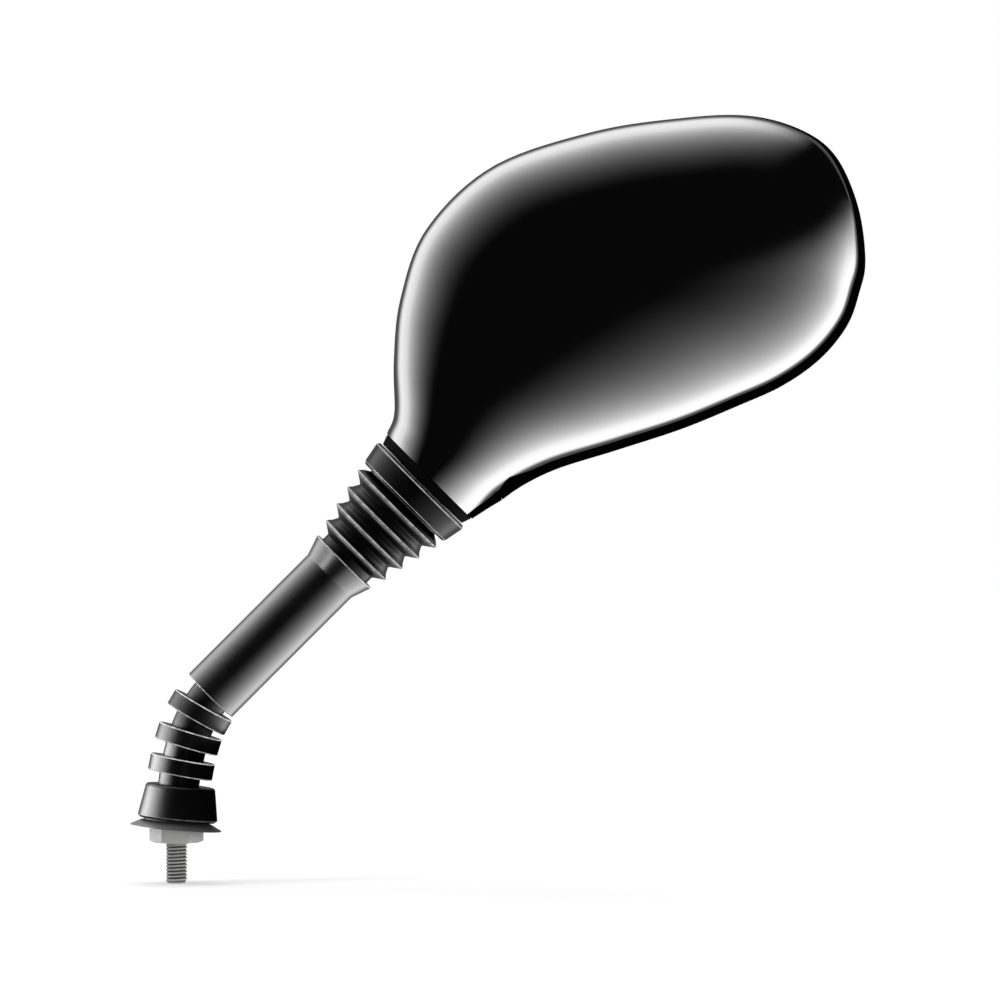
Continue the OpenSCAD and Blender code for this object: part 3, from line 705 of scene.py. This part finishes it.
def buildGaiter():
    steps = 96
    plugStart = bendEnd + rod["straight"] + gaiter["sleeveEnd"] + 1
    outer = [(s, gaiter["core"]) for s in evenly(gaiter["start"], plugStart, 90)]
    outer += [(plugStart + 0.02, gaiter["plug"]), (plugStart + gaiter["plugLength"], gaiter["plug"])]
    tube = outer + [(s, gaiter["bore"]) for s, r in reversed(outer)]
    points = stemTube(tube, steps)
    core = makePiece("gaiterCore", points, ringFaces(len(tube), steps, closedStack=True),
                     marks={"edgeWear": [0.0] * len(points)})
    cup = turned("gaiterCup", gaiter, [
        ("cupInside", 0, 0.2), ("cupFoot", 0, 0.3), ("cup", 0.8, 0.4, 0.15), ("shoulder", "cupHeight", 1.2),
        ("cupHole", "cupHeight", 0.1), ("cupHole", "cupRoof", 0.1), ("shoulderInside", "cupRoof", 0.8)],
        leaned(gaiter["cupPlace"], gaiter["cupLean"]))
    rib = turned("gaiterRib", gaiter, [
        ("ribFoot", "ribLow", 0), ("ribRadius", "ribLow", "ribRound", 0.7),
        ("ribRadius", "ribHigh", "ribRound", 1.0), ("ribFoot", "ribHigh", 0)], Matrix.Identity(4))
    line = bpy.data.curves.new("stemLine", "CURVE")
    line.dimensions = "3D"
    spline = line.splines.new("POLY")
    lengths = np.linspace(0, bendEnd, 160)
    spline.points.add(len(lengths) - 1)
    for point, s in zip(spline.points, lengths):
        x, z, lean = stemPoint(s)
        point.co = (x * mm, 0, z * mm, 1)
    path = newObject("stemLine", line)
    ribs = newObject("gaiterRibs", treeMesh(path, ribsAlong, {
        "Rib": rib, "Count": gaiter["ribs"], "First": gaiter["firstRib"] * mm,
        "Spacing": gaiter["ribSpacing"] * mm, "Material": blackRubber}))
    bpy.data.objects.remove(path)
    bpy.data.objects.remove(rib)
    piece = joinPieces("bendGaiter", [core, cup, ribs])
    settle(piece, blackRubber, "stem", "rubber_black", "bend_gaiter")


buildGaiter()

sleeve = {"inside": 8.6, "low": -94.7, "radius": 11.1, "flare": 13.6, "flareStart": -33.6,
          "flareEnd": -26.2, "lip": 13.0, "top": -25.9, "mouth": 11.35, "mouthFloor": -26.9, "step": -29.4}
stemSleeve = turned("stemSleeve", sleeve, [
    ("inside", "low", 0.3), ("radius", "low", 0.35, 0.8), ("radius", "flareStart", 2.5),
    ("flare", "flareEnd", 0.3, 1.0), ("lip", "top", 0.2, 0.5), ("mouth", "top", 0.1),
    ("mouth", "mouthFloor", 0), ("inside", "step", 0)])
settle(stemSleeve, satinPlastic, "stem", "satin_black", "stem_sleeve")

boot = {"valley": 11.2, "growth": 1.55, "depth": 4.1, "pitch": 7, "folds": 4, "start": -23.2, "end": 3.5,
        "tail": 3.5, "top": 8.3, "wall": 1.5, "topRise": 0.4, "split": -9.2, "lineStep": 0.18}


def bootPart(name, low, high):
    # a plain thick tube, then the folds pushed out of it
    heights = evenly(low, high, max(int((high - low) / boot["lineStep"]), 2))
    line = [(boot["valley"], z) for z in heights]
    line += [(boot["valley"] - boot["wall"], z) for z in reversed(heights)]
    piece = makePiece(name, turnedPoints(line), ringFaces(len(line), aroundSteps, closedStack=True))
    applyTree(piece, bellows, {
        "Start": boot["start"] * mm, "Pitch": boot["pitch"] * mm, "Folds": boot["folds"],
        "Growth": boot["growth"] * mm, "Depth": boot["depth"] * mm, "Top Rise": boot["topRise"] * mm,
        "Last Fold End": (boot["end"] - boot["start"]) / boot["pitch"] - boot["folds"] + 1}, 24)
    piece.data.transform(stemPlace)
    settle(piece, bootRubber, None, "rubber_black", "boot")
    return piece


bootLower = bootPart("bootLower", boot["start"] - boot["tail"], boot["split"])
bootUpper = bootPart("bootUpper", boot["split"], boot["top"])
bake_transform(bootLower)
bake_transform(bootUpper)

collar = {"low": 4.3, "lowSide": 5.2, "highSide": 12.5, "high": 13.5, "lowFlat": 19.6, "lowRadius": 20.5,
          "radius": 21.9, "highFlat": 21.1, "hole": 11.75, "hub": 14.55, "webTop": 5.9, "bootHole": 16.4,
          "bootTop": 8.45}
bootCollar = turned("bootCollar", collar, [
    ("bootHole", "low", 0.15), ("lowFlat", "low", 0.3, 0.6), ("lowRadius", "lowSide", 0.5, 1.0),
    ("radius", "highSide", 0.6, 1.0), ("highFlat", "high", 0.3, 0.6), ("hole", "high", 0.2),
    ("hole", "webTop", 0), ("hub", "webTop", 0), ("hub", "bootTop", 0), ("bootHole", "bootTop", 0)])
settle(bootCollar, collarPlastic, "collar", "satin_black", "boot_collar")

seal = {"low": 13.8, "high": 17.5, "hole": 11.6, "lowRadius": 20.2, "highRadius": 21.5}
neckSeal = turned("neckSeal", seal, [
    ("hole", "low", 0.2), ("lowRadius", "low", 0.5), ("highRadius", "high", 0.3), ("hole", "high", 0.2)])
settle(neckSeal, sealRubber, "head", "rubber_black", "neck_seal")
print("gaiter, sleeve, boot, collar and seal made")

# the head: the same rule as the CAD source's, with more stations and finer sections
head = {
    "upper": [(-12.7, 23.3), (-12.9, 42.6), (-10.5, 64.4), (-1.1, 89.5), (22.6, 112), (58.6, 124.6),
              (91.3, 129.7), (114.6, 130.4), (132.8, 125.5), (144.8, 116.4)],
    "tip": (152.6, 99),
    "lower": [(155.3, 79.7), (153.1, 68), (148.8, 56.4), (139.3, 44.8), (125.9, 35.3), (109.5, 27.9),
              (89.5, 19.7), (65.9, 12), (42.2, 4.4), (25.9, -4.7)],
    "depths": [21.8, 22, 22.6, 23.4, 24, 24, 23.5, 22, 19.5, 15.5, 10.5, 6],
    "neck": 21.8, "wall": 2.5, "floor": 3.5, "floorHole": 11.6, "neckInside": 17.8, "flangeTop": 6.8,
    "rimY": 9, "rimProud": 1.7, "rimShift": (1.5, -0.9), "shoulder": 0.84, "window": 1.2, "tipFade": 0.7,
    "bareEdges": [(0, 2.4), (0.25, 1.8), (0.5, 0.9), (0.8, 0.3), (1, 0.4), (1.15, 1.4), (1.3, 2.2),
                  (1.45, 1.5), (1.6, 0.7), (1.8, 0.2), (2, 0.05)],
    "bareLeft": 0.05, "frontSteps": 12, "skirtSteps": 6, "domeSteps": 84, "openStations": 96}
neckPoint = Vector(stem["ballCentre"]) + stemLine * stem["neckStart"]
neckPlace = Matrix.Translation(neckPoint * mm)
neckSide = head["neck"] * np.array((-math.cos(stemLean), math.sin(stemLean)))
outline = np.array([neckSide, *head["upper"], head["tip"], *head["lower"], -neckSide], float)
depthLine = np.array(head["depths"], float)[:, None]
tipAt, outlineEnd = len(head["upper"]) + 1, len(outline) - 1
frontSteps, domeSteps = head["frontSteps"], head["domeSteps"]
sideSteps = frontSteps + head["skirtSteps"]
ringSize = domeSteps + 2 * sideSteps


def alongLine(points, t):
    last = len(points) - 1
    i = min(int(math.floor(t)), last - 1)
    u = t - i
    p1, p2 = points[i], points[i + 1]
    p0 = points[i - 1] if i > 0 else 2 * p1 - p2
    p3 = points[i + 2] if i + 2 <= last else 2 * p2 - p1
    return 0.5 * (2 * p1 + (p2 - p0) * u + (2 * p0 - 5 * p1 + 4 * p2 - p3) * u * u
                  + (3 * p1 - p0 - 3 * p2 + p3) * u ** 3)


def inwardAt(t):
    d = alongLine(outline, min(t + 0.05, outlineEnd)) - alongLine(outline, max(t - 0.05, 0))
    return unit(np.array((d[1], -d[0])))


def rimPoint(t):
    share = min(1, t / 0.8, (outlineEnd - t) / 0.8)
    return alongLine(outline, t) + share * (np.array(head["rimShift"]) - head["rimProud"] * inwardAt(t))


def bulge(angle, power):
    c, s = math.cos(angle), math.sin(angle)
    return math.copysign(abs(c) ** (2 / power), c), abs(s) ** (2 / power)


def headSection(t, inset):
    # a ring of points, and how far inside the unpainted edge each one is
    edges = [alongLine(outline, at) + inset * inwardAt(at) for at in (t, outlineEnd - t)]
    rims = [rimPoint(at) + inset * inwardAt(at) for at in (t, outlineEnd - t)]
    middle, rimMiddle = sum(edges) / 2, sum(rims) / 2
    depth = max(alongLine(depthLine, t)[0], 0.5)
    intoTip = max(t - tipAt + head["tipFade"], 0) / head["tipFade"]
    depth = max(depth * math.sqrt(max(1 - intoTip ** 2, 0.0)) - inset, 0.3)
    bareRight = float(np.interp(t, *zip(*head["bareEdges"])))

    def side(j, edge, rim):
        if t <= head["shoulder"]:
            c, s = bulge(math.pi / 2 * (1 - j / sideSteps), 2 + 1.2 * t)
            p = middle + (rim - middle) * c
            return p[0], (head["neck"] * (1 - 0.22 * t * t) - inset) * s, p[1]
        if j < frontSteps:
            p = rimMiddle + (rim - rimMiddle) * j / frontSteps
            return p[0], head["rimY"] - inset, p[1]
        u = (j - frontSteps) / head["skirtSteps"]
        p = rim + (edge - rim) * u
        return p[0], (head["rimY"] - (inset if t < head["window"] else 0)) * (1 - u), p[1]

    points = [side(j, edges[0], rims[0]) for j in range(sideSteps)]
    bare = [1.0] * sideSteps
    for j in range(domeSteps + 1):
        c, s = bulge(math.pi * j / domeSteps, 2 + 0.35 * min(t, 1))
        p = middle + (edges[0] - middle) * c
        points.append((p[0], -depth * s, p[1]))
        fromLeft, fromRight = (np.linalg.norm(p - edge) for edge in edges)
        bare.append(max(head["bareLeft"] - fromLeft, bareRight - fromRight, -1.0))
    points += [side(j, edges[1], rims[1]) for j in range(sideSteps - 1, 0, -1)]
    return points, bare + [1.0] * (sideSteps - 1)


def neckRing(z, radius):
    points = []
    for j in range(ringSize):
        a = np.interp(j, (0, sideSteps, sideSteps + domeSteps, ringSize), (0, 90, 270, 360))
        s = -radius * math.sin(math.radians(a))
        points.append(((s + z) * math.cos(stemLean), radius * math.cos(math.radians(a)),
                       (z - s) * math.cos(stemLean)))
    return points


def buildShell():
    neckStations = list(np.linspace(0, head["shoulder"], 10))
    ledgeStations = [head["shoulder"] + 0.02, 1, 1.1, head["window"]]
    share = np.linspace(0, 1, head["openStations"] + 1)[1:]
    opened = (tipAt - 0.004 - head["window"]) * (share + 0.35 * np.sin(np.pi * share) / np.pi)
    stations = neckStations + ledgeStations + list(head["window"] + opened)
    outer, bare = zip(*(headSection(t, 0) for t in stations))
    inner = [neckRing(0, head["floorHole"]), neckRing(head["floor"], head["floorHole"]),
             neckRing(head["floor"], head["neckInside"]), neckRing(head["flangeTop"], head["neckInside"])]
    inner += [headSection(t, head["wall"])[0] for t in stations if head["shoulder"] < t < tipAt - 0.12]
    firstOpen, innerOpen = len(neckStations) + len(ledgeStations) - 1, 4 + len(ledgeStations) - 1
    outerLast, innerLast = len(outer) - 1, len(inner) - 1
    leftRim, rightRim = frontSteps, ringSize - frontSteps

    def isFront(j):
        return j < leftRim or j >= rightRim

    def outerAt(i, j):
        return i * ringSize + j % ringSize

    def innerAt(i, j):
        return outerAt(len(outer) + i, j)

    def band(one, i, other, k, chosen=None):
        return [(one(i, j), one(i, j + 1), other(k, j + 1), other(k, j))
                for j in range(ringSize) if chosen is None or chosen(j)]

    def isWall(j):
        return not isFront(j)

    faces = band(outerAt, 0, innerAt, 0) + band(outerAt, firstOpen, innerAt, innerOpen, isFront)
    for at, last, opening in ((outerAt, outerLast, firstOpen), (innerAt, innerLast, innerOpen)):
        for i in range(last):
            faces += band(at, i, at, i + 1, isWall if i >= opening else None)
    faces.append(tuple(outerAt(outerLast, j) for j in range(leftRim, rightRim + 1)))
    faces.append(tuple(innerAt(innerLast, j) for j in range(leftRim, rightRim + 1)))
    # the edge round the opening: the walls pair up station by station, then the last ones share the end
    for i in range(firstOpen, outerLast):
        k, n = (min(at - firstOpen + innerOpen, innerLast) for at in (i, i + 1))
        faces += [(outerAt(i, j), outerAt(i + 1, j), innerAt(n, j), innerAt(k, j))
                  for j in (leftRim, rightRim)]
    faces.append((outerAt(outerLast, rightRim), innerAt(innerLast, rightRim), innerAt(innerLast, leftRim),
                  outerAt(outerLast, leftRim)))
    faces = [tuple(dict.fromkeys(f)) for f in faces]
    points = [p for section in [*outer, *inner] for p in section]
    edge = [b for ring in bare for b in ring] + [1.0] * (len(inner) * ringSize)
    piece = makePiece("headShell", points, faces, neckPlace, sharpAngle=40, marks={"paintEdge": edge})
    settle(piece, glossPaint, "head", "gloss_black", "shell")


buildShell()
print("head shell made")

bezel = {"low": 9, "high": 16.6, "wall": 1.6, "lip": 4.6, "lipTop": 16.35, "glassTop": 15.05,
         "cornerRound": 8, "probe": 6.0}


def rimLoop(count=520):
    # the rim's outline with its two corners by the neck rounded, as points and inward directions
    line = [rimPoint(t) for t in np.linspace(1, outlineEnd - 1, 700)]
    lengths = np.concatenate(([0], np.cumsum([np.linalg.norm(b - a) for a, b in zip(line, line[1:])])))
    first, last, total = line[0], line[-1], lengths[-1]
    closing = unit(first - last)

    def pointAt(length):
        k = int(np.clip(np.searchsorted(lengths, length) - 1, 0, len(line) - 2))
        u = (length - lengths[k]) / (lengths[k + 1] - lengths[k])
        return line[k] + (line[k + 1] - line[k]) * u

    outFirst, outLast = unit(pointAt(bezel["probe"]) - first), unit(pointAt(total - bezel["probe"]) - last)
    reachFirst, arcFirst = cornerArc(first, -closing, outFirst, bezel["cornerRound"], 13)
    reachLast, arcLast = cornerArc(last, outLast, closing, bezel["cornerRound"], 13)
    body = [pointAt(s) for s in np.linspace(reachFirst, total - reachLast, count)]
    loop = np.array(arcFirst[:-1] + body + arcLast[1:])
    closed = np.vstack([loop, loop[:1]])
    spans = np.concatenate(([0], np.cumsum(np.linalg.norm(np.diff(closed, axis=0), axis=1))))
    even = np.linspace(0, spans[-1], count + 1)[:-1]
    loop = np.column_stack([np.interp(even, spans, closed[:, 0]), np.interp(even, spans, closed[:, 1])])
    for _ in range(3):
        loop = (np.roll(loop, 1, axis=0) + 2 * loop + np.roll(loop, -1, axis=0)) / 4
    tangent = np.roll(loop, -1, axis=0) - np.roll(loop, 1, axis=0)
    tangent /= np.linalg.norm(tangent, axis=1)[:, None]
    return loop, np.column_stack([tangent[:, 1], -tangent[:, 0]])


def buildBezel():
    loop, inward = rimLoop()
    line = roundedLine(bezel, [
        (0, "low", 0.3), (0, "high", 2.3), ("lip", "lipTop", 0.6), ("lip", "glassTop", 0.2),
        ("wall", "glassTop", 0), ("wall", "low", 0.2)], arcSteps=8)[0]
    points = [(x, y, z) for inset, y in line for x, z in loop + inward * inset]
    piece = makePiece("glassBezel", points, ringFaces(len(line), len(loop), closedStack=True), neckPlace)
    settle(piece, mattePlastic, "head", "matte_black", "bezel")


buildBezel()
print("bezel made")

carried = {
    "pivot_ball": zincSteel, "upper_bush": paleNylon, "socket_housing": castAlloy,
    "housing_screws": zincSteel, "pressure_cup": paleNylon, "disc_springs": zincSteel,
    "spring_plug": zincSteel, "backing_plate": mattePlastic, "foam_pad": greyFoam,
    "mirror_glass": mirrorGlass}
for nodeName, material in carried.items():
    dress(cadNodes[nodeName], material)

# studio: a pale floor under the stud's tip, soft lamps and a long lens square to the head
studio = {"floorHeight": -14.9, "floorRadius": 6000, "floorColor": (0.8, 0.8, 0.8), "floorLift": 0.32,
          "farLift": 0.75, "liftReach": (0.5, 2.2), "roomGrey": 0.01, "rearGrey": 0.6, "rear": (0.5, 0.84),
          "fill": 0.4, "lampAim": (0.13, 0.0, 0.15),
          "glows": [{"aim": (-0.72, 0.69), "reach": (0.1, 0.7), "front": -0.85, "back": 0.1, "curve": 1.5,
                     "strength": 6.0},
                    {"aim": (0.64, -0.77), "reach": (0.33, 0.8), "front": -0.995, "back": 0.0, "curve": 1.0,
                     "strength": 8.0}],
          # name, X, spans in Y and Z, strength
          "cards": [("lowCard", -0.32, (-0.4, 0.4), (-0.01, 0.16), 36.0),
                    ("lowFlag", 0.024, (-0.06, 0.06), (-0.012, 0.036), 0.0)],
          # name, place, width and height, power
          "lamps": [("keyLamp", (-0.9, -0.45, 1.0), (0.5, 1.2), 8.0),
                    ("frontLamp", (0.1, -2.4, 0.5), (1.2, 0.8), 3.5),
                    ("sideLamp", (1.25, -0.35, 0.25), (0.9, 0.55), 6.0),
                    ("topLamp", (0.1, 0.4, 1.5), (1.4, 1.0), 9.0)]}
white = (1, 1, 1, 1)


def seenAsBackground(tree):
    # the kinds of ray that see the background: camera, and those that gloss, metal and glass send out
    seen = addNode(tree, "ShaderNodeLightPath")
    return seen["Is Camera Ray"], seen["Is Glossy Ray"].then("MAXIMUM", seen["Is Transmission Ray"])


def buildFloor():
    work = bmesh.new()
    bmesh.ops.create_circle(work, cap_ends=True, segments=96, radius=studio["floorRadius"] * mm)
    mesh = bpy.data.meshes.new("studioFloor")
    work.to_mesh(mesh)
    work.free()
    mesh.transform(Matrix.Translation((0, 0, studio["floorHeight"] * mm)))
    floor = newObject("studioFloor", mesh)
    material, tree, shader = startMaterial("studioFloor", {
        "Roughness": 0.9, "Specular IOR Level": 0.0, "Base Color": (*studio["floorColor"], 1),
        "Emission Color": white})
    away = addNode(tree, "ShaderNodeVectorMath", {0: objectPlace(tree)}, operation="LENGTH")["Value"]
    lift = away.mapped(*studio["liftReach"], studio["floorLift"], studio["farLift"])
    setInputs(tree, shader, {"Emission Strength": seenAsBackground(tree)[0] * lift})
    mesh.materials.append(material)
    floor.visible_glossy = False


def buildWorld():
    world = bpy.data.worlds.new("studioWorld")
    bpy.context.scene.world = world
    world.use_nodes = True
    tree = world.node_tree
    camera, glossy = seenAsBackground(tree)
    x, y, z = partsOf(tree, addNode(tree, "ShaderNodeTexCoord")["Generated"])
    # gloss sees a dark room with two wide soft glows behind the part, up to the left and down to the
    # right; each grows from the front towards the back, and straight behind it is dark again
    across = (x * x + z * z + 0.0001).then("SQRT")
    room = studio["roomGrey"]
    for glow in studio["glows"]:
        side = (x * glow["aim"][0] + z * glow["aim"][1]) / across
        rise = y.mapped(glow["front"], glow["back"]).then("POWER", glow["curve"])
        room = side.mapped(*glow["reach"], kind="SMOOTHSTEP") * rise * glow["strength"] + room
    # the side behind the part's back, which its glass faces, is an even grey
    rear = y.mapped(*studio["rear"], kind="SMOOTHSTEP")
    room = room * (1.0 - rear) + rear * studio["rearGrey"]
    strength = room * glossy + (1.0 - glossy) * studio["fill"]
    setInputs(tree, tree.nodes["Background"], {"Strength": strength.then("MAXIMUM", camera), "Color": white})


def buildCard(name, x, y, z, strength):
    # a card beside the part that only gloss sees: a soft glow, or a dark flag where its strength is zero
    mesh = bpy.data.meshes.new(name)
    corners = [(x, y[i], z[k]) for i, k in ((0, 0), (1, 0), (1, 1), (0, 1))]
    mesh.from_pydata(corners, [], [(0, 1, 2, 3)])
    card = newObject(name, mesh)
    material, tree, shader = startMaterial(name, {
        "Specular IOR Level": 0.0, "Base Color": (0, 0, 0, 1), "Emission Color": white})
    alongX, alongY, alongZ = partsOf(tree, objectPlace(tree))
    middleY, middleZ, height = sum(y) / 2, sum(z) / 2, z[1] - z[0]
    nearFade = alongY.mapped(y[0], middleY, 0.0, strength, "SMOOTHSTEP")
    farFade = alongY.mapped(middleY, y[1], 1.0, 0.0, "SMOOTHSTEP")
    offMiddle = (alongZ - middleZ).then("ABSOLUTE")
    edgeFade = offMiddle.mapped(0.1 * height, 0.5 * height, 1.0, 0.0, "SMOOTHSTEP")
    setInputs(tree, shader, {"Emission Strength": nearFade * farFade * edgeFade})
    mesh.materials.append(material)
    card.visible_camera = card.visible_diffuse = card.visible_shadow = False


def softLamp(name, place, size, power):
    # lamps light the dull surfaces and cast the shadow, gloss sees the world's glows in their place
    lamp = bpy.data.lights.new(name, "AREA")
    lamp.shape = "RECTANGLE"
    lamp.size, lamp.size_y = size
    lamp.energy = power
    holder = newObject(name, lamp)
    holder.location = place
    holder.rotation_mode = "QUATERNION"
    holder.rotation_quaternion = (Vector(studio["lampAim"]) - Vector(place)).to_track_quat("-Z", "Y")
    holder.visible_glossy = False


buildFloor()
buildWorld()
for card in studio["cards"]:
    buildCard(*card)
for lamp in studio["lamps"]:
    softLamp(*lamp)

camera = bpy.data.cameras.new("camera")
camera.lens, camera.sensor_width = 200, 36
camera.clip_start, camera.clip_end = 0.05, 60
cameraHolder = newObject("camera", camera)
cameraHolder.location = (0.11716, -2.012, 0.12393)
cameraHolder.rotation_euler = (math.pi / 2, 0, 0)
bpy.context.scene.camera = cameraHolder
bpy.context.scene.view_settings.view_transform = "Standard"

bpy.context.view_layer.update()
print("studio ready")
